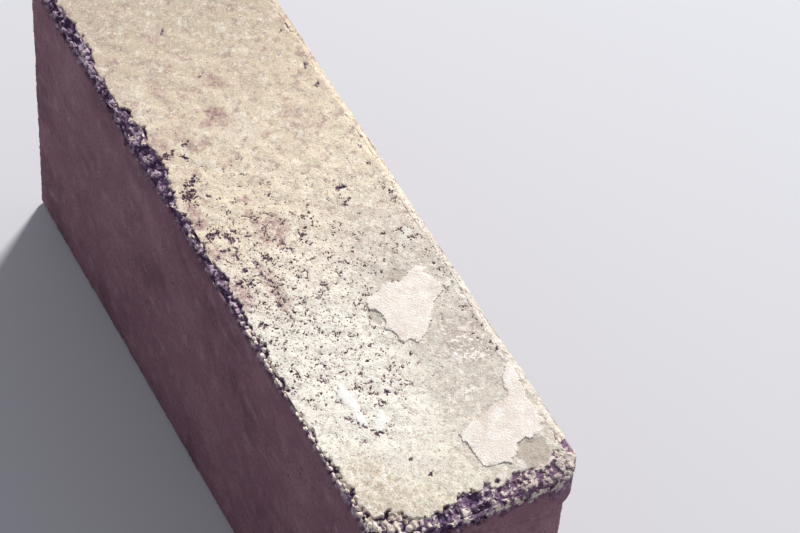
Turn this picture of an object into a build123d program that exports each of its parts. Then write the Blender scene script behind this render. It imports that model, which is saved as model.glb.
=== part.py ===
"""A plain clay brick, standing on its long narrow face.

Millimetres. X runs along the brick, towards the end that is nearest in the usual view.
Y runs through its thickness. Z is up, across its width. The origin is at the middle
of the footprint, on the floor.

The brick is one fired piece: a plain block whose long-hidden arrises are only slightly
rounded, and whose four exposed arrises are worn. Each worn arris loses a strip of clay
that swells and narrows along the edge, and that ends in a small step at both of its rims.
The near left top corner has crumbled away, and the near right upright arris is broken
back under a lip.
"""
import math
import os

from build123d import *

# Sizes of the pressed block
length = 203.0
thickness = 57.0
width = 95.0

# Slight rounding of the arrises that have kept their shape
kept_round = 1.6

# Clay lost along each worn arris, as the width lost on the upper face. The places are
# evenly spread from one end of the arris to the other, near end or left side first.
left_top_wear = [
    3.4, 3.4, 1.7, 1.3, 1.2, 1.3, 1.0, 0.9, 0.9, 0.9, 0.9, 1.0, 1.1, 1.1, 1.3, 1.4, 1.7, 2.1,
    2.4, 1.7, 2.2, 2.5, 1.9, 2.0, 2.8, 3.8, 4.4, 3.8, 4.3, 3.5, 2.1, 2.4, 2.4, 2.4, 3.2, 3.0,
    3.6, 2.3, 2.1, 2.0, 2.1,
]
right_top_wear = [
    3.4, 2.6, 2.0, 2.2, 2.5, 2.0, 1.9, 2.4, 2.1, 1.7, 2.0, 2.3, 1.8, 1.9, 2.4, 2.0, 1.8,
]
near_top_wear = [8.6, 8.4, 7.2, 4.6, 4.1, 4.2, 5.7, 6.1, 4.6, 4.9, 5.2, 5.5, 5.8, 6.2, 7.0]

# How far the wear runs down the face beside, for each millimetre lost on the upper face
left_drop = 0.85
right_drop = 1.1
near_drop = 0.65

# Height of the step at both rims of a worn strip: where clay has crumbled off, where the
# corner is broken back, and where handling has only worn the arris soft
crumbled_step = 0.8
broken_step = 0.5
soft_step = 0.25

# The near right upright arris: broadly rounded at the top, and broken back under a lip
corner_loss = 9.0
lip_height = 15.0
lip_slope = 2.5
broken_loss = 12.5
broken_height = 20.0
break_run_out = 9.0
lower_loss = 6.0

# The shell-shaped chip that has taken the near left top corner: radius of the shell, and
# how far it bites in past the sharp corner
corner_chip_radius = 45.0
corner_chip_bite = 6.0

# How finely a worn arris is rounded, and how far a cut runs out past the block
round_steps = 3
run_out = 4.0

half_length = length / 2
half_thickness = thickness / 2


def worn_strip(corner, along, first, second, stations, rim_step, steps=round_steps):
    """The clay lost from one arris.

    corner is the arris's start, along its direction, and first and second point from it
    into its two faces. Each station is a place along the arris and the widths lost on the
    two faces. What is left between them is a step down from each face, and a quarter round
    in a few flats between the two steps. Where the strip is narrow, the steps are lower.
    """
    sections = []
    for place, on_first, on_second in stations:
        origin = corner + along * place
        sunk = min(rim_step, on_first / 3, on_second / 3)
        across_first = on_first - 1.5 * sunk
        across_second = on_second - 1.5 * sunk
        flats = [(on_first, 0)]
        for step in range(steps + 1):
            turn = math.radians(90 * step / steps)
            from_second = sunk + across_first * (1 - math.sin(turn))
            from_first = sunk + across_second * (1 - math.cos(turn))
            flats.append((from_second, from_first))
        flats.append((0, on_second))
        outside = [(-run_out, on_second), (-run_out, -run_out), (on_first, -run_out)]
        points = [origin + first * a + second * b for a, b in flats + outside]
        sections.append(make_face(Polyline(*points, close=True)))
    return loft(sections, ruled=True)


def evenly_spread(wear, drop, edge_length):
    """Stations evenly spread along an edge, the first and last a little past its ends."""
    spacing = edge_length / (len(wear) - 1)
    places = [index * spacing for index in range(len(wear))]
    places[0] -= run_out
    places[-1] += run_out
    return [(place, loss, loss * drop) for place, loss in zip(places, wear)]


def corner_chip():
    """The ball that bites a shell-shaped chip out of the near left top corner."""
    sharp_corner = Vector(half_length, -half_thickness, width)
    outward = Vector(1, -1, 1).normalized()
    centre = sharp_corner + outward * (corner_chip_radius - corner_chip_bite)
    return Pos(centre) * Sphere(corner_chip_radius)


def plain_block():
    """The pressed block, with the arrises that have kept their shape slightly rounded."""
    block = Pos(0, 0, width / 2) * Box(length, thickness, width)
    worn = []
    worn += block.edges().filter_by(Axis.X).group_by(Axis.Z)[-1]
    worn += block.edges().filter_by(Axis.Y).group_by(Axis.Z)[-1].sort_by(Axis.X)[-1:]
    worn += block.edges().filter_by(Axis.Z).group_by(Axis.X)[-1].sort_by(Axis.Y)[-1:]
    middles = [edge.center() for edge in worn]
    kept = [
        edge for edge in block.edges()
        if all((edge.center() - middle).length > run_out / 2 for middle in middles)
    ]
    return fillet(kept, kept_round)


def worn_arrises():
    """The strips of clay lost from the four exposed arrises."""
    to_far = Vector(-1, 0, 0)
    to_near = Vector(1, 0, 0)
    to_right = Vector(0, 1, 0)
    to_left = Vector(0, -1, 0)
    down = Vector(0, 0, -1)
    near_left = Vector(half_length, -half_thickness, width)
    near_right = Vector(half_length, half_thickness, width)

    left_stations = evenly_spread(left_top_wear, left_drop, length)
    right_stations = evenly_spread(right_top_wear, right_drop, length)
    near_stations = evenly_spread(near_top_wear, near_drop, thickness)
    left_top = worn_strip(near_left, to_far, to_right, down, left_stations, crumbled_step)
    right_top = worn_strip(near_right, to_far, to_left, down, right_stations, soft_step)
    near_top = worn_strip(near_left, to_right, to_far, down, near_stations, crumbled_step)

    upright = [
        (-run_out, corner_loss, corner_loss),
        (lip_height - lip_slope, corner_loss, corner_loss),
        (lip_height, broken_loss, broken_loss),
        (lip_height + broken_height, broken_loss, broken_loss),
        (lip_height + broken_height + break_run_out, lower_loss, lower_loss),
        (width + run_out, lower_loss, lower_loss),
    ]
    near_right_upright = worn_strip(
        near_right, down, to_left, to_far, upright, broken_step, 2 * round_steps)
    return [left_top, right_top, near_top, near_right_upright]


def brick():
    solid = plain_block()
    for cut in worn_arrises() + [corner_chip()]:
        solid -= cut
    return solid


os.makedirs("parts", exist_ok=True)
made = brick()
made.label = "brick"
export_step(made, "parts/brick.step")
print("volume", round(made.volume / 1000, 1), "cm3, solids", len(made.solids()))
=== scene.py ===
# %% [markdown]
# # A worn clay brick, finished around its CAD solid
#
# The real object is one fired block. Its long narrow face is up, with a thin pale lime
# wash on it, a few flakes of lime mortar that stick to the wash, and edges that have
# crumbled. The frame holds the solid at its real size, and this lesson gives that solid
# its skin: first the camera, then the shape of the surface, then the material, then
# the light. Sizes are written in millimetres and turned to metres in one place.

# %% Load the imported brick
import math

import bmesh
import bpy
import numpy as np
from mathutils import Euler, Matrix, Vector, noise
from mathutils.kdtree import KDTree


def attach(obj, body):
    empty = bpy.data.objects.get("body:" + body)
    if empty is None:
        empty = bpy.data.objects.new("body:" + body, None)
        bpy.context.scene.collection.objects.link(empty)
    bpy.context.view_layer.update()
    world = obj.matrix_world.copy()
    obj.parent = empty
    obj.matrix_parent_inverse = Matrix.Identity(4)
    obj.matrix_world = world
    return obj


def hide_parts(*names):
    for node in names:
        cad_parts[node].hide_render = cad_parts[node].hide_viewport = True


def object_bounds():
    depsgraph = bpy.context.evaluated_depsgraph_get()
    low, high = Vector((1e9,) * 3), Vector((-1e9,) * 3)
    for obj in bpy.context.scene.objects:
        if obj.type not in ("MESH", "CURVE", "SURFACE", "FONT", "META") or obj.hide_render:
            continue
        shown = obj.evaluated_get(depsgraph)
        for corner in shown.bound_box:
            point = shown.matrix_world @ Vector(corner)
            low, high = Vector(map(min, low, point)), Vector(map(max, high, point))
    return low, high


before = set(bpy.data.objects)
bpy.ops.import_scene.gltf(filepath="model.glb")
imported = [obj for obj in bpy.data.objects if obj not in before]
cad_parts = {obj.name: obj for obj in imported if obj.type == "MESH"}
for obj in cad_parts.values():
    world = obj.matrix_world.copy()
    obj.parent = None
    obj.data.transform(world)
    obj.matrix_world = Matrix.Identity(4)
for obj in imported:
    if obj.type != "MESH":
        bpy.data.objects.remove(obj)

MM = 0.001
cad_low, cad_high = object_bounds()
size_mm = (cad_high - cad_low) / MM
print("CAD box in mm:", [round(side, 2) for side in size_mm])

# %% [markdown]
# ## Where things are on the upper face
#
# Marks on the upper face are easiest to place with a ruler laid on it: one distance from
# the near end, and one from the left edge. These two names do that, so that every flake,
# pit and crack below is a plain pair of millimetres.

# %% The upper face's own ruler
HALF_LENGTH = size_mm.x / 2
HALF_THICKNESS = size_mm.y / 2
WIDTH = size_mm.z


def from_near_end(x_mm):
    return HALF_LENGTH - x_mm


def from_left_edge(y_mm):
    return y_mm + HALF_THICKNESS


print("the ruler is", round(2 * HALF_LENGTH), "by", round(2 * HALF_THICKNESS), "mm")

# %% [markdown]
# ## The camera
#
# The picture looks down on the brick from beside its near end, from under a metre away,
# through a long lens, with the horizon tipped a few degrees. A long lens keeps the
# brick's sides nearly parallel. The aim point and angles were fitted to the edges of the
# upper face, with the brick's length taken as known, and are written as real sizes and
# degrees.

# %% Place the camera
AIM_MM = Vector((28.01, 15.26, WIDTH))
AZIMUTH, ELEVATION, ROLL = 58.21, 51.78, 5.15
DISTANCE_MM = 796.5
LENS, SENSOR = 144.0, 36.0

azimuth, elevation = math.radians(AZIMUTH), math.radians(ELEVATION)
back = Vector((
    math.sin(azimuth) * math.cos(elevation),
    -math.cos(azimuth) * math.cos(elevation),
    math.sin(elevation),
))
level_right = Vector((math.cos(azimuth), math.sin(azimuth), 0))
turn = Matrix.Rotation(math.radians(ROLL), 3, back)
right = turn @ level_right
up = back.cross(right)

camera_data = bpy.data.cameras.new("camera")
camera_data.lens = LENS
camera_data.sensor_width = SENSOR
camera_data.clip_start = 0.01
camera_data.clip_end = 20
camera = bpy.data.objects.new("camera", camera_data)
camera.matrix_world = Matrix.Translation((AIM_MM + back * DISTANCE_MM) * MM) @ Matrix(
    (right, up, back)).transposed().to_4x4()
bpy.context.scene.collection.objects.link(camera)
bpy.context.scene.camera = camera
print("camera stands", round(camera.location.z, 3), "m above the floor")

# %% [markdown]
# ## A closed copy of the solid, in small even faces
#
# A crumbled surface needs many small faces to move. The CAD mesh is loose triangles, so
# its copy is merged first. A voxel remesh then gives the whole block one even net of
# small squares, which bends round the chips and worn edges without caring how the solid
# was made.

# %% Copy, merge and remesh
VOXEL_MM = 0.5

brick_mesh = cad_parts["brick"].data.copy()
brick = bpy.data.objects.new("weathered_brick", brick_mesh)
bpy.context.scene.collection.objects.link(brick)

shape = bmesh.new()
shape.from_mesh(brick.data)
bmesh.ops.remove_doubles(shape, verts=shape.verts, dist=0.01 * MM)
shape.to_mesh(brick.data)
shape.free()


def bake_modifiers(piece):
    """Make the piece's modifiers part of its mesh."""
    graph = bpy.context.evaluated_depsgraph_get()
    finished = bpy.data.meshes.new_from_object(piece.evaluated_get(graph))
    piece.modifiers.clear()
    piece.data = finished


remesh = brick.modifiers.new("even_net", "REMESH")
remesh.mode = "VOXEL"
remesh.voxel_size = VOXEL_MM * MM
bake_modifiers(brick)
print("even net:", len(brick.data.polygons), "squares")

# %% [markdown]
# ## Flakes of lime mortar
#
# Where mortar was cleaned off the brick, thin flakes of it stay behind. Each is an
# outline a few centimetres across with a ragged edge, and less than half a millimetre
# thick. They could be pieces of their own, but they have grown together with the wash,
# so here they are places where the surface stands a little higher. An outline has only
# the corners that its shape needs. A little noise, added to the place before the test,
# makes the edge ragged. Lime patches are the same, but hardly thicker than the wash, and
# bare spots are where the wash has come off with its flake.

# %% Outlines, in mm from the near end and from the left edge
FLAKES = {
    "corner": [
        (11.7, 34.2), (14, 33.8), (18, 33.5), (22.5, 32.9), (23.2, 35), (24.5, 38), (25.5, 42),
        (26.7, 46), (27.5, 49.5), (31.5, 50), (34, 51.5), (36, 53), (35.8, 55.3), (33, 54.7),
        (29, 53.8), (25, 53), (20, 53), (17, 52.5), (14.8, 50.8), (14.2, 48.5), (14.9, 46.5),
        (14.3, 44.5), (12, 43), (11, 41), (9.8, 40.3), (10.9, 39), (11.2, 37), (11, 35.5),
    ],
    "middle": [
        (52.5, 34), (54, 33.2), (56, 33), (58, 31.8), (59.5, 32.5), (61, 33), (63, 32.7),
        (64.5, 31.8), (66, 31), (68, 31.5), (69, 34), (69.5, 36.5), (70.5, 38), (70, 40),
        (69.5, 42.5), (71, 44.5), (72.5, 46.5), (72.8, 47.8), (71.5, 48.8), (70, 48.5),
        (68.5, 49), (67, 50), (64.5, 50.5), (62.7, 50.3), (61.7, 48.5), (60.5, 46.3),
        (58.5, 44.8), (56, 43.7), (54.5, 41.7), (53, 40.5), (51.8, 38.5), (51.3, 37), (52.8, 35.5),
    ],
    "middle_tail": [(62.8, 51.2), (64.2, 51.2), (65.2, 54.2), (63.6, 53)],
}
LIME_PATCHES = {
    "white_long": [
        (34.3, 13.2), (36, 12.5), (38, 12.8), (40.5, 13), (42.5, 12.4), (45, 12.1), (47, 12.7),
        (48.5, 13.4), (47, 14.3), (45, 15), (42.5, 15.4), (40, 15), (37.5, 14.6), (35.5, 14.5),
        (34.4, 14.9),
    ],
    "white_short": [
        (31.3, 15.3), (33, 15.5), (34.5, 17), (36, 18), (37.5, 18.5), (37, 19.6), (34.5, 19.8),
        (33, 18.5), (31.5, 17),
    ],
    "by_the_corner": [(7.0, 42), (8.6, 41.4), (10, 42), (9.8, 43.4), (8.0, 43.6)],
    "sliver": [(31.8, 39.4), (32.6, 39.2), (33.6, 42.8), (32.9, 43.2)],
    "pale_smear": [(41, 42.8), (44, 42.2), (44.8, 43.4), (42.6, 44.8), (41.2, 44.4)],
    "edge_dash": [(37, 53.6), (40.6, 53.4), (41, 54.6), (37.6, 54.8)],
    "edge_smear": [(57, 53.2), (62.6, 52.8), (63, 54), (57.8, 54.5)],
    "lone_smear": [(82.6, 50.4), (84, 49.8), (84.8, 51.2), (83.2, 51.9)],
}
BARE_SPOTS = {
    "lozenge": [(69.9, 41.6), (71.6, 38.4), (74.2, 41.6), (72.2, 44.9)],
    "above_middle": [(59.5, 31), (62, 29.4), (65, 29.6), (65.4, 31), (63, 32.3), (61, 32.6)],
    "beside_corner": [
        (6, 43), (8.5, 41.2), (11.6, 42.2), (13.6, 44.6), (14.2, 46.8), (13.6, 48.8), (14, 50.6),
        (9, 50.4), (5.4, 47.5),
    ],
}
print(len(FLAKES), "flake outlines,", len(LIME_PATCHES), "lime patches,", len(BARE_SPOTS), "bare spots")

# %% [markdown]
# More kinds of mark are simpler: an oval with a place, a reach along the brick, a reach
# across it and a strength. Inside a crust oval the lime sits in small crumbs. Inside a
# rosy oval the clay shows through a thin wash, inside a pale oval the wash is thickest,
# and inside a tan oval it is a little dirty.

# %% Ovals: from the near end, from the left edge, reach along, reach across, strength
CRUSTS = {
    "beside_corner": (46, 48.5, 7, 6, 1.0),
    "along_right_edge": (44, 55, 20, 2.4, 0.7),
}
ROSY_SPOTS = {
    "far_patch": (138.3, 24.0, 3.0, 2.2, 1.0),
    "far_patch_tail": (136.4, 20.4, 1.6, 2.2, 0.7),
    "middle": (98.5, 20, 5.5, 4.5, 0.6),
    "along_the_pits": (80, 12.6, 9, 2.0, 0.6),
    "edge_of_the_crack": (83, 4.6, 5, 1.8, 0.7),
    "by_the_edge": (99, 4.2, 5, 1.8, 0.6),
    "past_the_crumbs": (110, 5.0, 5, 2.0, 0.7),
    "far_edge": (134, 6.4, 5, 2.2, 0.6),
    "far_left": (130.5, 15.5, 2.0, 3.2, 0.6),
    "far_streak": (152, 14, 6, 1.6, 0.5),
    "far_middle": (149, 28, 2.6, 2.6, 0.6),
    "far_right": (128, 43, 5, 4, 0.35),
    "right_of_middle": (109.8, 18, 1.4, 1.6, 0.8),
}
PALE_SPOTS = {
    "near_middle": (43, 19, 24, 11, 0.8),
    "under_far_patch": (137, 29.5, 6, 1.4, 0.45),
    "beside_far_patch": (130, 28, 3, 4, 0.4),
    "over_far_patch": (134.5, 17.5, 3, 2.5, 0.3),
    "by_the_edge": (149, 7, 9, 3, 0.3),
}
TAN_SPOTS = {
    "near_left": (16, 8, 12, 7, 0.8),
    "near_edge": (9, 17, 5, 6, 0.7),
    "left_strip": (26, 8, 4, 4, 0.5),
}
print("ovals:", sum(len(ovals) for ovals in (CRUSTS, ROSY_SPOTS, PALE_SPOTS, TAN_SPOTS)))

# %% [markdown]
# ## Pits and short cracks
#
# A fired surface is full of small holes, left by burnt-out grass, by grit that has
# fallen out and by shrinking. The largest are listed one by one, as short strokes with a
# radius. The many small ones come from noise further down, thickest where the real face
# is most open.

# %% Strokes one by one: radius in mm, then the points it passes
STROKES = [
    (0.46, [(38.0, 11.0), (37.6, 11.7), (37.0, 12.3)]),
    (0.46, [(36.0, 12.4), (34.4, 13.2), (34.2, 14.0), (34.3, 14.8)]),
    (0.44, [(32.8, 14.8), (31.0, 15.3), (31.2, 16.2), (30.7, 17.3)]),
    (0.40, [(32.0, 17.6), (32.1, 17.8)]),
    (0.36, [(37.5, 15.5), (38.1, 15.2)]),
    (0.55, [(38.7, 20.9), (39.0, 20.5)]),
    (0.48, [(43.6, 20.0), (43.9, 20.4)]),
    (0.42, [(41.3, 20.9), (42.4, 19.6)]),
    (0.45, [(45.5, 17.3), (45.6, 17.7)]),
    (0.52, [(41.3, 22.6), (40.5, 24.0), (40.4, 25.1)]),
    (0.42, [(45.5, 24.7), (45.8, 24.9)]),
    (0.42, [(48.2, 20.2), (48.8, 19.6), (49.0, 20.4)]),
    (0.40, [(51.2, 23.1), (51.5, 23.2)]),
    (0.45, [(55.3, 25.7), (55.6, 26.9)]),
    (0.42, [(50.3, 11.2), (51.2, 10.4), (52.2, 11.5)]),
    (0.30, [(53.3, 12.8), (55.3, 12.7)]),
    (0.42, [(21.2, 19.2), (21.3, 19.6)]),
    (0.46, [(15.3, 21.5), (15.7, 21.8)]),
    (0.75, [(71.6, 5.3), (72.5, 4.8)]),
    (0.80, [(86.0, 5.4), (85.2, 6.6), (84.6, 8.0)]),
    (0.60, [(85.5, 8.5), (85.9, 9.1)]),
    (0.62, [(88.6, 8.2), (89.3, 8.6)]),
    (0.45, [(83.8, 10.0), (84.1, 10.2)]),
    (0.42, [(83.0, 13.1), (84.6, 12.3), (86.8, 11.8)]),
    (0.42, [(77.0, 13.4), (77.5, 12.9)]),
    (0.45, [(79.0, 11.6), (79.5, 12.9)]),
    (0.36, [(90.0, 12.6), (91.2, 11.0)]),
    (0.62, [(89.4, 16.3), (90.2, 15.3), (91.2, 14.9)]),
    (0.40, [(93.3, 9.3), (93.4, 10.1)]),
    (0.50, [(94.5, 8.6), (96.2, 9.6)]),
    (0.50, [(97.2, 5.6), (96.8, 7.3)]),
    (0.85, [(102.4, 4.7), (103.0, 7.2)]),
    (0.75, [(99.8, 9.9), (100.8, 9.1)]),
    (0.58, [(101.2, 11.7), (101.8, 11.1)]),
    (0.48, [(98.2, 13.3), (98.8, 14.1)]),
    (0.36, [(101.5, 17.5), (101.5, 18.1)]),
    (0.40, [(90.0, 22.3), (90.9, 21.2), (92.0, 20.7)]),
    (0.42, [(93.2, 21.6), (93.5, 20.9)]),
    (0.34, [(99.8, 21.6), (100.2, 21.0)]),
    (0.40, [(101.8, 22.5), (103.6, 21.2)]),
    (0.36, [(87.8, 23.8), (88.1, 23.5)]),
    (0.34, [(74.6, 24.8), (77.2, 24.1)]),
    (0.33, [(74.0, 15.0), (74.3, 17.0)]),
    (0.33, [(74.7, 18.5), (74.8, 19.6)]),
    (0.33, [(75.1, 22.6), (75.4, 24.2)]),
    (0.30, [(76.0, 26.5), (76.3, 30.0)]),
    (0.34, [(45.2, 10.6), (45.3, 10.8)]),
    (0.34, [(45.5, 20.2), (45.4, 21.4)]),
    (0.34, [(45.2, 27.0), (44.9, 27.4)]),
    (0.80, [(93.8, 26.7), (94.3, 26.9)]),
    (0.40, [(80.6, 31.4), (82.0, 30.7)]),
    (0.42, [(85.6, 33.9), (86.1, 34.2)]),
    (0.34, [(100.3, 37.9), (101.0, 37.1)]),
    (0.75, [(102.8, 42.9), (103.4, 41.3)]),
    (0.50, [(97.6, 40.4), (98.4, 42.0)]),
    (0.32, [(111.0, 36.0), (112.4, 34.2)]),
    (1.05, [(115.8, 6.4), (117.2, 5.4), (117.6, 7.6)]),
    (0.85, [(119.8, 7.0), (120.6, 9.6)]),
    (0.48, [(114.2, 10.9), (114.5, 10.5)]),
    (0.95, [(130.6, 4.8), (131.2, 7.6)]),
    (0.66, [(128.2, 10.6), (129.0, 10.7)]),
    (0.66, [(132.2, 12.4), (133.2, 12.7)]),
    (0.34, [(121.4, 23.5), (122.4, 22.8)]),
    (0.60, [(136.2, 52.3), (136.9, 52.9)]),
    (0.50, [(143.2, 52.2), (143.8, 52.8)]),
    (0.46, [(157.2, 51.6), (157.8, 52.6)]),
    (0.42, [(169.5, 23.5), (171.0, 24.2)]),
    (0.40, [(151.5, 26.0), (152.6, 26.9)]),
]
print(len(STROKES), "pits and cracks by hand")

# %% [markdown]
# ## Fields over the surface
#
# Everything that shapes the surface is a field: a number for each point of the net. The
# fields are worked out for all points at once, and noise is read one point at a time
# from Blender's own noise functions. A feature's size in millimetres is what its place
# is divided by. The noise is built on a square lattice, which shows on a flat face, so it
# is turned out of line with the brick. Vector noise is shifted by the clock unless it is
# given a seed, and without one the grains would lie differently in each run.

# %% Read the net and make noise readable in millimetres
NOISE_ANGLES = (0.5, 0.35, 0.8)
NOISE_TURN = np.array(Euler(NOISE_ANGLES).to_matrix())
NOISE_SEED = 5

noise.seed_set(NOISE_SEED)
print("noise seed:", NOISE_SEED)


def read_points(mesh, what):
    values = np.zeros(len(mesh.vertices) * 3)
    if what == "place":
        mesh.vertices.foreach_get("co", values)
        values /= MM
    else:
        mesh.vertex_normals.foreach_get("vector", values)
    return values.reshape(-1, 3)


def smooth_step(low, high, values):
    share = np.clip((values - low) / (high - low), 0, 1)
    return share * share * (3 - 2 * share)


def cloud(places, feature_mm, octaves=3, offset=0.0):
    """Soft noise about zero, mostly within -1 to 1, with features of one size and finer."""
    shift = Vector((offset, 2.7 * offset, -1.3 * offset))
    turned = places @ NOISE_TURN / feature_mm
    return np.array([noise.fractal(Vector(spot) + shift, 1.0, 2.0, octaves) for spot in turned])


def round_beads(places, bead_mm, offset):
    """Depths, about 0 to 1, of packed round beads that each stand at their own level."""
    shift = Vector((offset, -offset, 1.7 * offset))
    depths = []
    for place in places:
        spot = Vector(place) / bead_mm + shift
        spot += 0.2 * noise.noise_vector(2.3 * spot)
        gaps, centres = noise.voronoi(spot)
        depths.append(0.02 + 2.0 * gaps[0] ** 2 + 0.35 * noise.noise(7.3 * centres[0]))
    return np.array(depths)


def creases(places, feature_mm, width, offset, octaves=3):
    """1 along thin wandering lines, where soft noise passes through zero."""
    return smooth_step(width, 0.3 * width, np.abs(cloud(places, feature_mm, octaves, offset)))


def broken_grains(places, grain_mm, offset):
    """Depths, about 0 to 1, of packed angular grains that each have a level and a tilt."""
    shift = Vector((offset, -offset, 1.7 * offset))
    depths = []
    for place in places:
        spot = Vector(place) / grain_mm + shift
        spot += 0.3 * noise.noise_vector(1.7 * spot)
        centre = noise.voronoi(spot)[1][0]
        tilt = noise.noise_vector(5.1 * centre)
        depths.append(0.5 + noise.noise(7.3 * centre) + 1.3 * tilt.dot(spot - centre))
    return np.array(depths)


# %% [markdown]
# The tests below ask how far a point of the upper face is from a stroke, whether it is
# inside an outline, and how strong the ovals are there.

# %% Distance to a stroke, and inside an outline


def distance_to_stroke(ends, edges, points):
    nearest = np.full(len(ends), 1e9)
    for (end_a, edge_a), (end_b, edge_b) in zip(points, points[1:]):
        run = np.array((end_b - end_a, edge_b - edge_a))
        share = ((ends - end_a) * run[0] + (edges - edge_a) * run[1]) / max(run @ run, 1e-9)
        share = np.clip(share, 0, 1)
        away = np.hypot(ends - end_a - share * run[0], edges - edge_a - share * run[1])
        nearest = np.minimum(nearest, away)
    return nearest


def inside(ends, edges, outline):
    """True where a ray along the brick crosses the outline an odd number of times."""
    crossed = np.zeros(len(ends), bool)
    for (end_a, edge_a), (end_b, edge_b) in zip(outline, outline[1:] + outline[:1]):
        if edge_a == edge_b:
            continue
        spans = (edges < edge_a) != (edges < edge_b)
        meets = end_a + (edges - edge_a) * (end_b - end_a) / (edge_b - edge_a)
        crossed ^= spans & (ends < meets)
    return crossed


def inside_ovals(ends, edges, ovals, fray):
    """The strength of the strongest oval at each place, with soft and frayed rims."""
    strongest = np.zeros(len(ends))
    for end, edge, along, across, strength in ovals.values():
        away = np.hypot((ends - end) / along, (edges - edge) / across) + fray
        strongest = np.maximum(strongest, strength * smooth_step(1.25, 0.75, away))
    return strongest


middle_spot = np.array([62.0]), np.array([40.0])
print("the middle flake holds its middle:", bool(inside(*middle_spot, FLAKES["middle"])[0]))

# %% [markdown]
# ## Finer squares where the eye looks
#
# The whole upper face, the worn edges round it and the broken corner carry shapes smaller
# than the net. Only there is the net divided once more.

# %% Divide the net on the upper face and the broken corner
FINE_BAND_MM = 6.0


def gaps_to_faces(places):
    """Distances in mm to the nearer end, the nearer side and the nearer level face."""
    return np.stack((
        HALF_LENGTH - np.abs(places[:, 0]),
        HALF_THICKNESS - np.abs(places[:, 1]),
        np.minimum(places[:, 2], WIDTH - places[:, 2]),
    ))


def gap_to_arris(places):
    """Distance in mm from each point to the nearest sharp edge of the block."""
    return np.sort(gaps_to_faces(places), axis=0)[1]


def gap_to_face(places):
    """Distance in mm from each point to the nearest flat face of the unworn block."""
    return np.min(gaps_to_faces(places), axis=0)


places = read_points(brick.data, "place")
broken = (places[:, 0] > 0) & (places[:, 1] > 0) & (gap_to_face(places) > 0.3)
wanted = (WIDTH - places[:, 2] < FINE_BAND_MM) | (broken & (places[:, 2] > WIDTH / 2))
shape = bmesh.new()
shape.from_mesh(brick.data)
shape.verts.ensure_lookup_table()
fine_edges = [
    edge for edge in shape.edges
    if wanted[edge.verts[0].index] and wanted[edge.verts[1].index]
]
bmesh.ops.subdivide_edges(shape, edges=fine_edges, cuts=1, use_grid_fill=True)
shape.to_mesh(brick.data)
shape.free()
print("after dividing:", len(brick.data.vertices), "points")

# %% [markdown]
# ## How the edges crumble
#
# Fired clay does not chip like glass. It breaks between its grains, so a worn edge is a
# heap of small angular lumps with dark gaps between them. The lumps are read from cell
# noise at three sizes: each cell stands at its own level and leans its own way, which
# leaves small broken steps from cell to cell. Round the near left corner and along the
# nearest 80 mm of the left edge the lumps are round beads instead. Beads lie nearly level
# with the washed face, and in places they spread a little further over it and hang down
# over the left face. The right part of the near edge has worn soft again, so its grains
# stand calmer. All of it ends in a ragged line a few millimetres from the edge.

# %% Where the surface has crumbled, and how deep
CRUMB_SIZES_MM = (2.7, 1.4, 0.7)
CRUMB_SHARES = (0.44, 0.36, 0.20)
CRUMBLE_DEPTH_MM = 1.6
SHALLOWEST_SHARE = 0.12
WORN_GAP_MM = 0.05
RIM_FADE_MM = 0.22

# How far the crumbled band reaches past the clay that the solid has lost
LEAST_REACH_MM = 0.15
CORNER_REACH_MM = 1.8

# Beads, and how much of the step below the washed face they are spared
BEAD_MM = 1.5
BEADS_RAISED = 0.75

# The level that worn grains are drawn to: how strongly in their shape and in their colour
CALM_LEVEL = 0.40
CALM_RELIEF = 0.25
CALM_SHARE = 0.55

# Along the left edge, as pairs of a place in mm from the near end and a value: the share
# of the full hang that beads have, and the millimetres that they spread over the top
HANG_MM = 1.6
HANG_ALONG_LEFT = [(0, 1.0), (29, 1.0), (33, 0.3), (50, 0.3), (54, 1.0), (74, 0.9), (80, 0.0)]
WIDER_ALONG_LEFT = [
    (12, 0.0), (15, 0.6), (29, 0.6), (33, 0.0), (50, 0.0), (54, 0.5), (76, 0.5), (80, 0.0),
]


def beaded(places):
    """Where the crumbled clay is round beads: round the near left corner and past it."""
    ends, edges = from_near_end(places[:, 0]), from_left_edge(places[:, 1])
    near_end = smooth_step(14, 10, ends)
    beads_left = smooth_step(80, 72, ends) * (1 - near_end)
    beads_left *= smooth_step(20, 10, edges)
    beads_near = 0.55 * smooth_step(18, 12, edges) * near_end
    return beads_left + beads_near


def worn_smooth(places):
    """Where the broken near edge has worn soft again: on its right-hand part."""
    near_end = smooth_step(13, 9, from_near_end(places[:, 0]))
    return smooth_step(30, 37, from_left_edge(places[:, 1])) * near_end


def exposure(places):
    """How hard the nearest arris has been worn: 1 on the exposed ones, less elsewhere."""
    near_top = smooth_step(11, 6, WIDTH - places[:, 2])
    near_end = smooth_step(15, 11, HALF_LENGTH - places[:, 0])
    left = smooth_step(10, 7, HALF_THICKNESS + places[:, 1])
    right = smooth_step(6, 2, HALF_THICKNESS - places[:, 1])
    worn = near_top * np.maximum(left, near_end)
    worn = np.maximum(worn, 0.3 * near_top * right)
    worn = np.maximum(worn, 0.6 * near_end * right)
    return np.maximum(worn, 0.25)


def distance_to_worn(places):
    """Distance in mm to the nearest place where the solid has lost clay."""
    lost = gap_to_face(places) > WORN_GAP_MM
    tree = KDTree(int(lost.sum()))
    for index, place in enumerate(places[lost]):
        tree.insert(place, index)
    tree.balance()
    away = np.full(len(places), 99.0)
    away[lost] = 0.0
    for index in np.flatnonzero(~lost & (gap_to_arris(places) < FINE_BAND_MM + 4)):
        away[index] = tree.find(places[index])[2]
    return away


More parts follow.
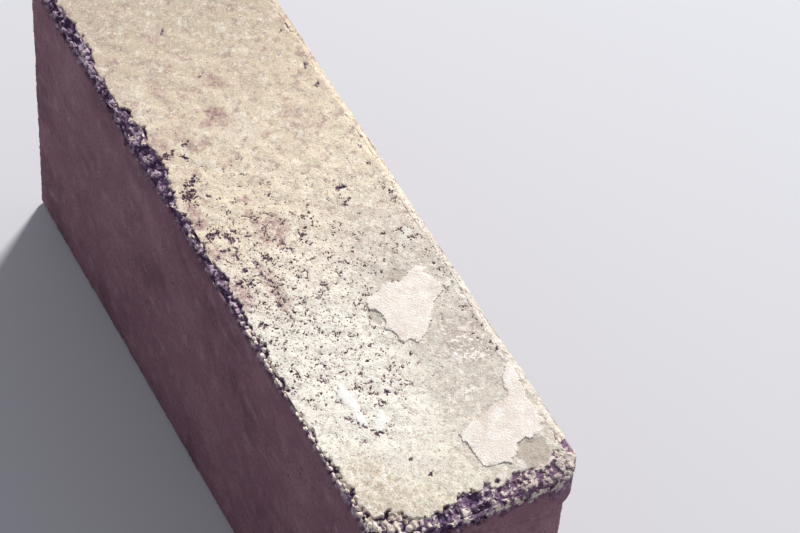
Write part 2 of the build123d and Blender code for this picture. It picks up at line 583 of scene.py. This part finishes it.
def crumbling(places):
    """Depth in mm, how crumbled the place is, and how low it lies among its grains."""
    ends, edges = from_near_end(places[:, 0]), from_left_edge(places[:, 1])
    below_top = WIDTH - places[:, 2]
    ragged = cloud(places, 2.6, 4, 8.0)
    near_end = smooth_step(14, 9, ends)
    near_left = near_end * smooth_step(13, 8, edges)
    reach = 0.5 + 0.3 * near_end + (1.4 + 1.0 * near_end) * ragged
    reach += 0.5 * cloud(places, 9, 3, 3.1)
    on_left_face = smooth_step(0.6, 0.2, edges) * (1 - near_end)
    hang = HANG_MM * on_left_face * np.interp(ends, *zip(*HANG_ALONG_LEFT))
    hang *= smooth_step(8, 4, below_top)
    reach = np.maximum(reach, LEAST_REACH_MM) + CORNER_REACH_MM * near_left + hang
    on_top = smooth_step(0.6, 0.2, below_top) * smooth_step(20, 10, edges)
    reach += on_top * np.interp(ends, *zip(*WIDER_ALONG_LEFT))
    near = smooth_step(reach + RIM_FADE_MM, reach - RIM_FADE_MM, distance_to_worn(places))
    depth, low = np.zeros(len(places)), np.zeros(len(places))
    close = np.flatnonzero(near > 0.001)
    for size, share in zip(CRUMB_SIZES_MM, CRUMB_SHARES):
        low[close] += share * broken_grains(places[close], size, 4 * size)
    share = beaded(places[close])
    low[close] += (round_beads(places[close], BEAD_MM, 3.3) - low[close]) * share
    low[close] += (CALM_LEVEL - low[close]) * CALM_RELIEF * worn_smooth(places[close])
    low = np.clip(low, 0, 1)
    deepest = CRUMBLE_DEPTH_MM * exposure(places) * (1 - 0.25 * worn_smooth(places))
    already_lost = np.minimum(gap_to_face(places), 0.5 * deepest)
    lost_share = SHALLOWEST_SHARE + (1 - SHALLOWEST_SHARE) * low
    depth[close] = (near * (deepest * lost_share - already_lost))[close]
    return depth, near, low


print("grains of", CRUMB_SIZES_MM, "mm and beads of", BEAD_MM, "mm, up to", CRUMBLE_DEPTH_MM, "mm deep")

# %% [markdown]
# ## The whole surface
#
# The depths are added up: a slow waviness from drying, thin scaly layers of wash, the
# step down from the flakes to the washed face, the pits, and the crumbled edges. The sums
# are kept, because the material later asks the same questions: where is the wash gone,
# and what is hollow enough to hold dirt and painted shade?

# %% The layers of the upper face
FLAKE_MM = 0.26
LIME_PATCH_MM = 0.10
CRUST_MM = 0.07
BARE_MM = 0.10
SCALE_STEP_MM = 0.045
CREASE_MM = 0.40
BARE_FACE_MM = 3 * SCALE_STEP_MM + FLAKE_MM + CRUST_MM
PIT_DEPTH_SHARE = 0.55


def openness(ends, edges):
    """How porous the upper face is at a place, from 0 to 1."""
    along = np.exp(-((ends - 76) / 38) ** 2)
    across = np.exp(-((edges - 16) / 18) ** 2)
    right_edge = 0.5 * smooth_step(48, 54, edges)
    return 0.10 + 0.90 * along * (0.30 + 0.70 * across + right_edge * (1 - across))


def terraces(values):
    """Turn a slope into level steps, one for each whole number, with steep risers."""
    whole = np.floor(values)
    return whole + smooth_step(0.6, 1.0, values - whole)


def upper_face(places):
    """Depth in mm, counted from the tops of the flakes, and the masks that go with it."""
    wobble_a, wobble_b = cloud(places, 1.2, 4, 21.0), cloud(places, 1.2, 4, 34.0)
    fray = cloud(places, 0.55, 2, 55.0)
    ends = from_near_end(places[:, 0]) + 0.55 * wobble_a
    edges = from_left_edge(places[:, 1]) + 0.55 * wobble_b

    def covered(outlines):
        return np.any([inside(ends, edges, outline) for outline in outlines.values()], axis=0)

    flake = covered(FLAKES).astype(float)
    # Lime patches are made fainter towards the right, where a shadow lies over them: painted shade.
    patch = covered(LIME_PATCHES) * (1 - flake) * (1 - 0.45 * smooth_step(28, 34, edges))
    bare = covered(BARE_SPOTS) * (1 - flake)
    crumbs = smooth_step(0.04, 0.18, cloud(places, 0.85, 3, 61.0))
    crusty = inside_ovals(ends, edges, CRUSTS, 0.3 * wobble_a) * (1 - flake)
    bare = np.maximum(bare, 0.6 * crusty)
    crust = crumbs * crusty

    porous = openness(ends, edges) * (1 - flake) * (1 - patch)
    places_open = smooth_step(0.72, 0.82, 0.5 + 0.6 * cloud(places, 2.6, 3, 71.0) + 0.22 * porous)
    crease = creases(places, 1.7, 0.08, 81.0) * places_open * smooth_step(0.1, 0.5, porous)
    pit = crease * CREASE_MM
    for radius, points in STROKES:
        away = distance_to_stroke(ends, edges, points)
        away += radius * (0.3 + 2.0 * fray + 0.6 * wobble_a)
        pit = np.maximum(pit, PIT_DEPTH_SHARE * radius * smooth_step(radius, 0.6 * radius, away))

    scaly = SCALE_STEP_MM * terraces(4.5 * cloud(places, 4.6, 5, 2.0))
    depth = 3 * SCALE_STEP_MM + scaly * (1 - 0.7 * np.maximum(flake, patch)) + BARE_MM * bare + pit
    depth += FLAKE_MM * (1 - flake) - CRUST_MM * crust - LIME_PATCH_MM * patch + CRUST_MM
    return {
        "depth": depth, "flake": np.maximum(flake, 0.75 * crust), "patch": patch,
        "bare": bare * (1 - crust), "pit": pit,
    }


print("the washed face lies about", round(BARE_FACE_MM, 2), "mm below the tops of the flakes")

# %% Add up the depths
WAVE_MM = 0.13
GRAIN_MM = 0.03
SIDE_HOLE_MM = 0.35

places = read_points(brick.data, "place")
normals = read_points(brick.data, "normal")
facing_up = smooth_step(0.35, 0.75, normals[:, 2]) * (places[:, 2] > WIDTH / 2)
waviness = WAVE_MM * (1 + cloud(places, 34, 2, 1.0))
grain = GRAIN_MM * (1 + cloud(places, 5.0, 2, 2.0))
hole_noise = cloud(places, 1.5, 2, 45.0) + 0.3 * cloud(places, 13, 2, 46.0)
side_holes = smooth_step(0.64, 0.70, hole_noise)
crumble, crumbled, low = crumbling(places)
top = np.flatnonzero(facing_up > 0)
fields = {name: np.zeros(len(places)) for name in ("depth", "flake", "patch", "bare", "pit")}
for name, values in upper_face(places[top]).items():
    fields[name][top] = values * facing_up[top]
for name in ("flake", "patch", "bare", "pit"):
    fields[name] *= 1 - crumbled
side_pits = SIDE_HOLE_MM * side_holes * (1 - facing_up) * (1 - crumbled)
fields["pit"] += side_pits
depth = waviness + grain + crumble
depth += fields["depth"] * (1 - crumbled)
bare_step = BARE_FACE_MM * facing_up * crumbled * (1 - BEADS_RAISED * beaded(places))
depth += bare_step * (1 - 0.6 * worn_smooth(places))
depth += side_pits
print("deepest point:", round(float(depth.max()), 2), "mm")

# %% [markdown]
# Where is wash left? All over the flat of the upper face, and on the highest grains of the
# crumbled edges. How many of those kept it changes along each edge, so it is written as
# pairs: a place in mm and the share of the grains. To give exactly that share, the grains
# are put in order of height first, with a little chance in it, which spatters the wash
# over lower grains too. Beads, worn grains and the rest are each put in order by
# themselves. The broken rim of the washed face is bare clay. On the right part of the near
# edge, which has worn soft again, what is left of the wash fades from the high grains to
# the low ones. There and at the soft right edge the grains differ less in colour.

# %% Where wash is left
KEPT_ALONG_LEFT = [
    (0, 0.55), (8, 0.58), (30, 0.58), (34, 0.85), (38, 0.40), (42, 0.75), (50, 0.70), (53, 0.55),
    (63, 0.55), (68, 0.42), (76, 0.30), (80, 0.0), (94, 0.0), (97, 0.15), (105, 0.15), (109, 0.0),
    (114, 0.08), (120, 0.12), (126, 0.0), (134, 0.10), (142, 0.10), (150, 0.0), (203, 0.0),
]
KEPT_ALONG_NEAR = [
    (0, 0.62), (12, 0.60), (16, 0.34), (20, 0.20), (33, 0.13), (37, 0.26), (43, 0.36), (57, 0.42),
]
KEPT_ON_RIGHT = 1.0
SPATTER = 0.22
SPATTER_MM = 0.9


def in_order(values):
    """Each value's place in the order of all of them, from 0 to 1."""
    order = np.empty(len(values))
    order[np.argsort(values)] = np.linspace(0, 1, len(values))
    return order


ends, edges = from_near_end(places[:, 0]), from_left_edge(places[:, 1])
near_end_share = smooth_step(13, 9, ends)
left_share = smooth_step(9, 5, edges) * (1 - near_end_share)
right_share = smooth_step(8, 4, 2 * HALF_THICKNESS - edges) * (1 - near_end_share)
kept = left_share * np.interp(ends, *zip(*KEPT_ALONG_LEFT))
kept += near_end_share * np.interp(edges, *zip(*KEPT_ALONG_NEAR)) + right_share * KEPT_ON_RIGHT
kept *= smooth_step(10, 5, WIDTH - places[:, 2])
# Wash is kept mostly on the upper face and on grains that face up. Grains that face sideways keep the
# dark clay, which is partly painted shade.
kept *= 1 - smooth_step(0.9, 0.5, edges) * smooth_step(1.0, 1.9, WIDTH - places[:, 2])
kept *= 0.15 + 0.85 * smooth_step(0.10, 0.50, normals[:, 2])
in_beads = beaded(places) > 0.4
in_calm = (worn_smooth(places) > 0.5) & ~in_beads
shown = np.ones(len(places))
for part in (in_beads, in_calm, ~in_beads & ~in_calm):
    loose = np.flatnonzero(part & (crumbled > 0.001))
    shown[loose] = in_order(low[loose] + SPATTER * cloud(places[loose], SPATTER_MM, 2, 91.0))
    low[loose] = in_order(low[loose])
on_tips = smooth_step(kept + 0.05, kept - 0.05, shown)
thinly = 0.28 + 0.42 * smooth_step(kept + 0.45, kept - 0.45, shown)
thinly *= smooth_step(8, 5, WIDTH - places[:, 2])
on_tips += (thinly - on_tips) * worn_smooth(places)
on_rim = smooth_step(0.04, 0.30, crumbled) * smooth_step(0.97, 0.75, crumbled) * (1 - right_share)
on_rim *= smooth_step(0.25, 0.55, low) * (1 - 0.8 * worn_smooth(places))
washed = facing_up * (1 - crumbled) + crumbled * on_tips
washed *= 1 - 0.8 * on_rim
calm = np.maximum(0.8 * right_share, worn_smooth(places))
# How low each crumbled grain looks. The material turns this into painted shade low down and painted
# light on top.
grain_depth_for_shade = low + (CALM_LEVEL - low) * CALM_SHARE * calm - 0.2 * low * beaded(places)
hollow = np.clip(fields["pit"] / 0.30, 0, 1)
fray = 0.35 * cloud(places, 2.4, 4, 12.0)
spots = {
    name: inside_ovals(ends, edges, ovals, fray) * facing_up
    for name, ovals in (("rosy", ROSY_SPOTS), ("pale", PALE_SPOTS), ("tan", TAN_SPOTS))
}
print("washed share of all points:", round(float(washed.mean()), 2))

# %% Move the points inwards, and keep the masks on the mesh
moved = places - normals * depth[:, None]
low_corner, high_corner = np.array(cad_low) / MM, np.array(cad_high) / MM
moved = np.clip(moved, low_corner, high_corner)
brick.data.vertices.foreach_set("co", (moved * MM).ravel())


def keep_on_mesh(name, values):
    attribute = brick.data.attributes.new(name, "FLOAT", "POINT")
    attribute.data.foreach_set("value", values.astype(np.float32))
    print("mask", name, "is", round(float(values.mean()), 3), "on average")


keep_on_mesh("flake", fields["flake"])
keep_on_mesh("patch", fields["patch"])
keep_on_mesh("hollow", hollow)
keep_on_mesh("wash", washed)
keep_on_mesh("porous", facing_up * openness(ends, edges))
keep_on_mesh("bare", fields["bare"])
keep_on_mesh("low", grain_depth_for_shade)
deep_broken = smooth_step(0.32, 0.55, exposure(places)) * (1 - 0.35 * worn_smooth(places))
keep_on_mesh("crumbled", crumbled * deep_broken)
for name, values in spots.items():
    keep_on_mesh(name, values)
brick.data.update()

# %% [markdown]
# ## Fewer faces where nothing happens
#
# The net is now finer than its flat parts need. A collapse decimation takes points away
# where that changes the shape least, so the pits and crumbled edges keep theirs.

# %% Thin the net out
MOST_TRIANGLES = 194_000
SHARP_DEGREES = 38


def count_triangles(mesh):
    return sum(len(face.vertices) - 2 for face in mesh.polygons)


triangles = count_triangles(brick.data)
decimate = brick.modifiers.new("fewer_faces", "DECIMATE")
decimate.ratio = min(1.0, MOST_TRIANGLES / triangles)
bake_modifiers(brick)
brick.data.shade_smooth()
brick.data.set_sharp_from_angle(angle=math.radians(SHARP_DEGREES))
heights = np.array([face.center.z for face in brick.data.polygons]) / MM
print("triangles:", triangles, "->", count_triangles(brick.data))
print("share of the faces in the top 4 mm:", round(float((heights > WIDTH - 4).mean()), 2))
print("masks kept:", [a.name for a in brick.data.attributes if a.domain == "POINT"])

# %% [markdown]
# ## The material
#
# Fired clay is a matt, slightly open ceramic. Here it is a dusty plum brown with painted
# shade in it: darker, and with some of the cool tint that it has in the shade. The firing
# has left paler and darker clouds. On the upper face a thin lime wash hides most of
# that: nearly white at the near end and creamier further off, with the clay warming it
# where it is thin. The layers are built from the clay up, as they lie on the real brick.
# Colours are given as sRGB hex values, and one function turns them to linear. One more
# function adds any node: it feeds each socket with another node's output, a number, a
# vector or a colour, and gives one output back.

# %% Colours and nodes
material = bpy.data.materials.new("fired_clay_with_lime_wash")
material.use_nodes = True
tree = material.node_tree
tree.nodes.clear()


def linear(hex_colour):
    channels = [int(hex_colour[i:i + 2], 16) / 255 for i in (1, 3, 5)]
    return [c / 12.92 if c <= 0.04045 else ((c + 0.055) / 1.055) ** 2.4 for c in channels] + [1]


def add(kind, feeds=None, output=0, **settings):
    """Add a node with its settings, feed its sockets, and give back one of its outputs."""
    node = tree.nodes.new(kind)
    for name, value in settings.items():
        setattr(node, name, value)
    for socket, value in (feeds or {}).items():
        if isinstance(value, bpy.types.NodeSocket):
            tree.links.new(value, node.inputs[socket])
        else:
            node.inputs[socket].default_value = linear(value) if isinstance(value, str) else value
    return node.outputs[output] if node.outputs else node


print("mid clay in linear light:", [round(c, 3) for c in linear("#89616e")[:3]])

# %% [markdown]
# Patterns read Object coordinates, which are metres here, so a pattern with features of
# so many millimetres has a scale of 1000 divided by that. The masks come from the mesh.

# %% The place on the brick, and the masks
MASKS = (
    "flake", "patch", "hollow", "wash", "porous", "bare", "low", "crumbled", "rosy", "pale", "tan",
)

place = add("ShaderNodeTexCoord", output="Object")
turned = add("ShaderNodeMapping", {"Vector": place, "Rotation": NOISE_ANGLES})
apart = add("ShaderNodeSeparateXYZ", {"Vector": place}).node.outputs
mask = {name: add("ShaderNodeAttribute", output="Fac", attribute_name=name) for name in MASKS}
print("masks read:", len(mask))

# %% [markdown]
# Two ways of working come back in every layer. A layer is blotchy, so it follows soft
# noise with features of one size. And it is a coat: a colour laid over what is there, as
# thickly as some shares together let it. A Mix node has sockets for several kinds of
# value, and the numbers below are those of its colours.

# %% Blotches and coats
MIX_SHARE, MIX_UNDER, MIX_OVER, MIX_RESULT = 0, 6, 7, 2


def blotches(feature_mm, low, high, detail=4.0, roughness=0.65):
    """0 where soft noise with features of one size is at low, 1 where it is at high."""
    soft = add("ShaderNodeTexNoise", {
        "Vector": turned, "Scale": 1000 / feature_mm, "Detail": detail, "Roughness": roughness})
    return add("ShaderNodeMapRange", {"Value": soft, "From Min": low, "From Max": high},
               interpolation_type="SMOOTHSTEP")


def coat(under, over, *shares):
    """One colour laid over another, as thickly as all the shares together let it."""
    thickness = shares[0]
    for share in shares[1:]:
        thickness = add("ShaderNodeMath", {0: thickness, 1: share}, operation="MULTIPLY")
    return add("ShaderNodeMix", {MIX_SHARE: thickness, MIX_UNDER: under, MIX_OVER: over},
               MIX_RESULT, data_type="RGBA")


print("sockets of a Mix node:", MIX_SHARE, MIX_UNDER, MIX_OVER, "->", MIX_RESULT)

# %% [markdown]
# ### The fired clay
#
# The clay was pressed and fired, which gives the eye a matt dusty skin: broad clouds from
# the fire, smaller ones from the mixing, and a fine sandy grain. Where it has crumbled,
# its grains carry painted light and shade: paler on top, as if lit, and a dark violet in
# between, partly dirt and partly painted shade. The mesh says how low each point lies.

# %% Clouds and grain of the clay, and the crumbled clay
CLAY_COATS = [
    # colour, feature in mm, noise where it starts and where it is full, share
    ("#734f5b", 26, 0.50, 0.34, 1.0),
    ("#977079", 26, 0.50, 0.68, 1.0),
    ("#a1818a", 5.5, 0.48, 0.80, 0.9),
    ("#6d4b56", 0.9, 0.54, 0.66, 0.9),
    ("#b0929a", 0.6, 0.62, 0.70, 0.9),
]
# Paler coats on the higher crumbled grains: painted light.
CRUMBLED_TOP_LIGHT_COATS = [
    # colour, how low the point lies where it starts and where it is full
    ("#8a6f8b", 0.74, 0.58),
    ("#c6b0bd", 0.44, 0.20),
]
GRIT_SHARE = 0.24
# The base clay is partly painted shade: darker and cooler than lit clay, as it looks in the shade.
clay = "#89616e"
for colour, feature_mm, low_noise, high_noise, share in CLAY_COATS:
    clay = coat(clay, colour, blotches(feature_mm, low_noise, high_noise), share)

grit = add("ShaderNodeMath", {0: blotches(0.8, 0.3, 0.7, 3.0), 1: GRIT_SHARE, 2: mask["low"]},
           operation="MULTIPLY_ADD")
# The dark violet between crumbled grains: partly dirt, partly painted shade.
broken = coat("#5f4a6d", "#4e3a59", blotches(5, 0.45, 0.6))
for colour, start, full in CRUMBLED_TOP_LIGHT_COATS:
    height = add("ShaderNodeMapRange", {
        "Value": grit, "From Min": start + GRIT_SHARE / 2, "From Max": full + GRIT_SHARE / 2,
    }, interpolation_type="SMOOTHSTEP")
    broken = coat(broken, colour, height)
clay = coat(clay, broken, mask["crumbled"], 0.92)
print("clay coats:", len(CLAY_COATS) + len(CRUMBLED_TOP_LIGHT_COATS))

# %% [markdown]
# ### The lime wash
#
# Limewash is brushed on thin and dries to a soft matt cream. It is whitest where it lies
# thick and turns tan and mauve towards the far end, where more of the clay shows. Its
# colour along the brick is a ramp, in millimetres from the near end. Over that come its
# own blotches, from ones as wide as a finger down to grains of sand, which are drawn
# about twice as coarse as real sand, because finer ones don't show in the picture.

# %% The wash along the brick
WASH_ALONG = [
    (0, "#efe6d1"), (20, "#f2ead6"), (32, "#f9f2e1"), (47, "#fbf5e5"), (66, "#f5efdf"),
    (85, "#f3e7d3"), (102, "#efe0c5"), (119, "#e8d8bd"), (136, "#dfceb3"), (154, "#d6c5ab"),
    (170, "#ccbca4"), (203, "#c4b5a0"),
]
along_brick = add("ShaderNodeMapRange", {
    "Value": apart["X"], "From Min": HALF_LENGTH * MM, "From Max": -HALF_LENGTH * MM})
wash = add("ShaderNodeValToRGB", {"Fac": along_brick})
stops = wash.node.color_ramp.elements
while len(stops) < len(WASH_ALONG):
    stops.new(1.0)
for stop, (from_end_mm, colour) in zip(stops, WASH_ALONG):
    stop.position = from_end_mm / (2 * HALF_LENGTH)
    stop.color = linear(colour)
print("colours along the brick:", len(stops))

# %% Its blotches, its greyer near right part, and its pale, tan and rosy places
FAR_FROM, FAR_FULL = 0.30, 0.62
WASH_COATS = [
    # colour, feature in mm, noise at its start and where it is full, share near and far, detail
    ("#c9b39f", 10, 0.46, 0.66, 0.10, 0.36, 4),
    ("#ab8884", 3.4, 0.53, 0.63, 0.04, 0.52, 4),
    ("#fcf6e9", 2.7, 0.54, 0.66, 0.55, 0.42, 4),
    ("#b3978f", 1.7, 0.56, 0.63, 0.26, 0.44, 4),
    ("#b99f8c", 1.1, 0.52, 0.62, 0.46, 0.32, 2),
    ("#fdf7ea", 0.9, 0.54, 0.62, 0.50, 0.25, 2),
]
far = add("ShaderNodeMapRange", {"Value": along_brick, "From Min": FAR_FROM, "From Max": FAR_FULL},
          interpolation_type="SMOOTHSTEP")
rightwards = add("ShaderNodeMapRange", {"Value": apart["Y"], "From Min": -0.001, "From Max": 0.010},
                 interpolation_type="SMOOTHSTEP")
near_right_shade = add("ShaderNodeMapRange", {"Value": far, "From Min": 0.9, "From Max": 0.1, "To Max": 0.75})
# The near right part of the wash is painted greyer. This is partly painted shade, where a shadow lies
# over it, and partly a greyer wash that sets off the flakes.
wash = coat(wash, "#d0c5b7", rightwards, near_right_shade)
wash = coat(wash, "#cdbb9f", mask["tan"], blotches(1.6, 0.40, 0.60))
wash = coat(wash, "#fcf5e8", mask["pale"], 0.6)
for colour, feature_mm, low_noise, high_noise, near_share, far_share, detail in WASH_COATS:
    share = add("ShaderNodeMapRange", {"Value": far, "To Min": near_share, "To Max": far_share})
    wash = coat(wash, colour, blotches(feature_mm, low_noise, high_noise, detail), share)
wash = coat(wash, "#b3a596", mask["bare"], 0.6)
wash = coat(wash, "#b38f88", mask["rosy"], blotches(1.5, 0.34, 0.58))
wash = coat(wash, "#8d6a70", mask["rosy"], blotches(0.8, 0.53, 0.62, 2), 0.8)
wash = coat(wash, "#efdacb", mask["crumbled"], 0.6)
print("blotchy coats in the wash:", len(WASH_COATS))

# %% [markdown]
# ### Lime flakes, and where the clay comes through
#
# The flakes are old lime mortar, cast against the wash: smoother than it, warm and nearly
# white. Where the mesh says that the wash is gone, the clay shows, with a ragged edge as
# fine as the grain. A thin dark line round each flake's rim is painted shade.

# %% Flakes over the wash, and clay where it has gone
lime = coat("#f1e5d8", "#fbf3e8", blotches(2.6, 0.42, 0.64, 5.0))
lime = coat(lime, "#dcc8b8", blotches(9, 0.50, 0.66), 0.6)
stuck_on = add("ShaderNodeMapRange", {"Value": mask["flake"], "From Min": 0.3, "From Max": 0.6},
               interpolation_type="SMOOTHSTEP")
thin_lime = coat(wash, "#fefaf1", mask["patch"])
skin = coat(thin_lime, lime, stuck_on)
fine = add("ShaderNodeTexNoise", {
    "Vector": turned, "Scale": 1000 / 0.6, "Detail": 3.0, "Roughness": 0.7})
frayed_wash = add("ShaderNodeMath", {0: fine, 1: 0.8, 2: mask["wash"]}, operation="MULTIPLY_ADD")
left_on = add("ShaderNodeMapRange", {"Value": frayed_wash, "From Min": 0.78, "From Max": 0.94},
              interpolation_type="SMOOTHSTEP")
colour = coat(clay, skin, left_on)
# A thin dark mauve line round the rim of each flake: painted shade.
flake_rim_shade_start = add("ShaderNodeMapRange", {"Value": mask["flake"], "From Min": 0.05, "From Max": 0.25})
flake_rim_shade_end = add("ShaderNodeMapRange", {"Value": mask["flake"], "From Min": 0.6, "From Max": 0.35})
colour = coat(colour, "#84686b", flake_rim_shade_start, flake_rim_shade_end, 0.25)
print("nodes up to the skin:", len(tree.nodes))

# %% [markdown]
# ### Specks, short cracks, dirt and painted shade
#
# Where the wash bridged small holes it has fallen in, which leaves dark specks of a quarter
# to half a millimetre, many in the open middle and few elsewhere. Their dark is painted
# shade in the holes. Cells from cell noise hold one speck each, but only the cells that
# chance picks, so that no order shows. Their darkness is left to chance as well. Pits and
# cracks that the mesh has are painted dark, partly with dirt and partly with painted
# shade: dark plum near by, and more purple towards the far end. Round every speck and pit,
# a softer pinkish brown ring is painted shade on its shallow rim.

# %% Specks by chance
SPECK_CELL_MM = 0.85
SPECK_SWAY_MM = 0.12

soft_push = add("ShaderNodeTexNoise", {"Vector": turned, "Scale": 1000 / 0.4, "Detail": 1.0}, "Color")
push = add("ShaderNodeVectorMath", {0: soft_push, 1: (0.5, 0.5, 0.5)}, operation="SUBTRACT")
across_cells = add("ShaderNodeMapping", {"Vector": place, "Rotation": (0, 0, NOISE_ANGLES[2])})
pushed = add("ShaderNodeVectorMath", {0: push, 1: (2 * SPECK_SWAY_MM * MM,) * 3, 2: across_cells},
             operation="MULTIPLY_ADD")
cells = add("ShaderNodeTexVoronoi", {"Vector": pushed, "Scale": 1000 / SPECK_CELL_MM},
            voronoi_dimensions="2D").node.outputs
chances = add("ShaderNodeSeparateColor", {"Color": cells["Color"]}).node.outputs
density = add("ShaderNodeMath", {0: mask["porous"], 1: 0.50, 2: -1.02}, operation="MULTIPLY_ADD")
room = add("ShaderNodeMath", {0: chances["Red"], 1: density}, operation="ADD")
radius = add("ShaderNodeMapRange", {"Value": room, "From Max": 0.50, "To Min": 0.14, "To Max": 0.31})
within = add("ShaderNodeMath", {0: radius, 1: cells["Distance"]}, operation="SUBTRACT")
speck = add("ShaderNodeMapRange", {"Value": within, "From Max": 0.07})
speck_shade_halo = add("ShaderNodeMapRange", {"Value": within, "From Min": -0.12, "From Max": 0.02})
picked = add("ShaderNodeMath", {0: room, 1: 0.0}, operation="GREATER_THAN")
darkness = add("ShaderNodeMapRange", {"Value": chances["Green"], "To Min": 0.22, "To Max": 0.95})
under_lime = add("ShaderNodeMath", {0: stuck_on, 1: mask["patch"]}, operation="MAXIMUM")
plain = add("ShaderNodeMath", {0: 1.0, 1: under_lime}, operation="SUBTRACT")
# A softer pinkish brown ring round each speck: painted shade.
colour = coat(colour, "#b7958f", speck_shade_halo, picked, darkness, plain)
# The dark specks: painted shade in small holes.
colour = coat(colour, "#543a4c", speck, picked, darkness, plain)
print("speck cells of", SPECK_CELL_MM, "mm")

# %% Short cracks, and dirt and painted shade in the hollows
wander = add("ShaderNodeTexNoise", {
    "Vector": turned, "Scale": 1000 / 1.9, "Detail": 3.0, "Roughness": 0.6, "Distortion": 0.3})
from_line = add("ShaderNodeMath", {0: wander, 1: 0.5}, operation="SUBTRACT")
from_line = add("ShaderNodeMath", {0: from_line}, operation="ABSOLUTE")
crack = add("ShaderNodeMapRange", {"Value": from_line, "From Min": 0.016, "From Max": 0.005})
open_places = add("ShaderNodeMath", {0: blotches(3.0, 0.56, 0.64), 1: mask["porous"]},
                  operation="MULTIPLY")
colour = coat(colour, "#5d4653", crack, open_places, plain)

grime_and_shade_depth = add("ShaderNodeMath", {0: fine, 1: 0.9, 2: mask["hollow"]}, operation="MULTIPLY_ADD")
dirt_and_shade = add("ShaderNodeMapRange", {"Value": grime_and_shade_depth, "From Min": 0.86, "From Max": 1.0})
pit_shade_halo = add("ShaderNodeMapRange", {"Value": grime_and_shade_depth, "From Min": 0.58, "From Max": 0.86})
# A softer ring round each pit: painted shade on its shallow slopes.
colour = coat(colour, "#ad8a8e", pit_shade_halo, 0.8)
dirt_and_shade_colour = coat("#503548", "#5f4a79", far)
clumps = add("ShaderNodeMapRange", {"Value": blotches(0.8, 0.42, 0.56, 2), "To Min": 0.25})
# Dark in the pits: partly dirt, partly painted shade.
colour = coat(colour, dirt_and_shade_colour, dirt_and_shade, clumps, 0.95)
print("nodes up to the dirt:", len(tree.nodes))

# %% [markdown]
# ### Relief and shader
#
# What is finer than the mesh is relief: a crumbly grain of half a millimetre, and scaly
# layers of the wash. Fired clay is rough and hardly shines, so its roughness is high and
# its specular level low, and both stand on the shader itself.

# %% Relief and shader
crumb = blotches(0.5, 0.0, 1.0, 3.0, 0.8)
scales = blotches(1.4, 0.0, 1.0, 5.0, 0.75)
relief = add("ShaderNodeMath", {0: scales, 1: 0.45, 2: crumb}, operation="MULTIPLY_ADD")
relief = add("ShaderNodeMath", {0: speck, 1: -0.4, 2: relief}, operation="MULTIPLY_ADD")
bump = add("ShaderNodeBump", {"Height": relief, "Strength": 0.75, "Distance": 0.25 * MM})
surface = add("ShaderNodeBsdfPrincipled", {
    "Base Color": colour, "Normal": bump,
    "Roughness": 0.92, "IOR": 1.5, "Specular IOR Level": 0.3})
add("ShaderNodeOutputMaterial", {"Surface": surface})
brick.data.materials.clear()
brick.data.materials.append(material)
print("material nodes:", len(tree.nodes))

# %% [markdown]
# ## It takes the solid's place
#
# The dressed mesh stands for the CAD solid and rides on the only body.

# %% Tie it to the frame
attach(brick, "root")
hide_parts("brick")
print(brick.name, "now stands for the solid")

# %% [markdown]
# ## Floor, light and view settings
#
# The floor is pale matt paper, which takes soft shadows and hardly shines. It is a little
# darker than the washed face, so that the brick's outline reads. One soft lamp stands far
# off on the right, beyond the brick's far end, as the real light did: it rakes the upper
# face and leaves the two faces towards the viewer in half shade. The world fills the rest
# in evenly, with the faint blue of open shade.

# %% Floor
FLOOR_HALF_SIZE = 3.0

floor_shape = bmesh.new()
bmesh.ops.create_grid(floor_shape, x_segments=1, y_segments=1, size=FLOOR_HALF_SIZE)
floor_mesh = bpy.data.meshes.new("floor")
floor_shape.to_mesh(floor_mesh)
floor_shape.free()
floor = bpy.data.objects.new("floor", floor_mesh)
bpy.context.scene.collection.objects.link(floor)
floor_material = bpy.data.materials.new("pale_matt_paper")
floor_material.use_nodes = True
paper = floor_material.node_tree.nodes["Principled BSDF"]
paper.inputs["Base Color"].default_value = linear("#cdcdcf")
paper.inputs["Roughness"].default_value = 0.9
paper.inputs["Specular IOR Level"].default_value = 0.2
floor_mesh.materials.append(floor_material)
print("floor:", 2 * FLOOR_HALF_SIZE, "m each way")

# %% Lamp and world
LAMP_FROM = Vector((-1.45, 1.85, 1.50))
LAMP_SIZE = 0.45
LAMP_WATTS = 114.0
SKY_COLOUR = "#e9edf9"
SKY_STRENGTH = 0.42

lamp_data = bpy.data.lights.new("window_lamp", "AREA")
lamp_data.shape = "DISK"
lamp_data.size = LAMP_SIZE
lamp_data.energy = LAMP_WATTS
lamp = bpy.data.objects.new("window_lamp", lamp_data)
lamp.location = LAMP_FROM
lamp.rotation_mode = "QUATERNION"
lamp.rotation_quaternion = LAMP_FROM.to_track_quat("Z", "Y")
bpy.context.scene.collection.objects.link(lamp)

world = bpy.data.worlds.new("even_sky")
world.use_nodes = True
sky = world.node_tree.nodes["Background"]
sky.inputs["Color"].default_value = linear(SKY_COLOUR)
sky.inputs["Strength"].default_value = SKY_STRENGTH
bpy.context.scene.world = world
bpy.context.scene.view_settings.view_transform = "Standard"
print("lamp:", round(LAMP_FROM.length, 2), "m away")
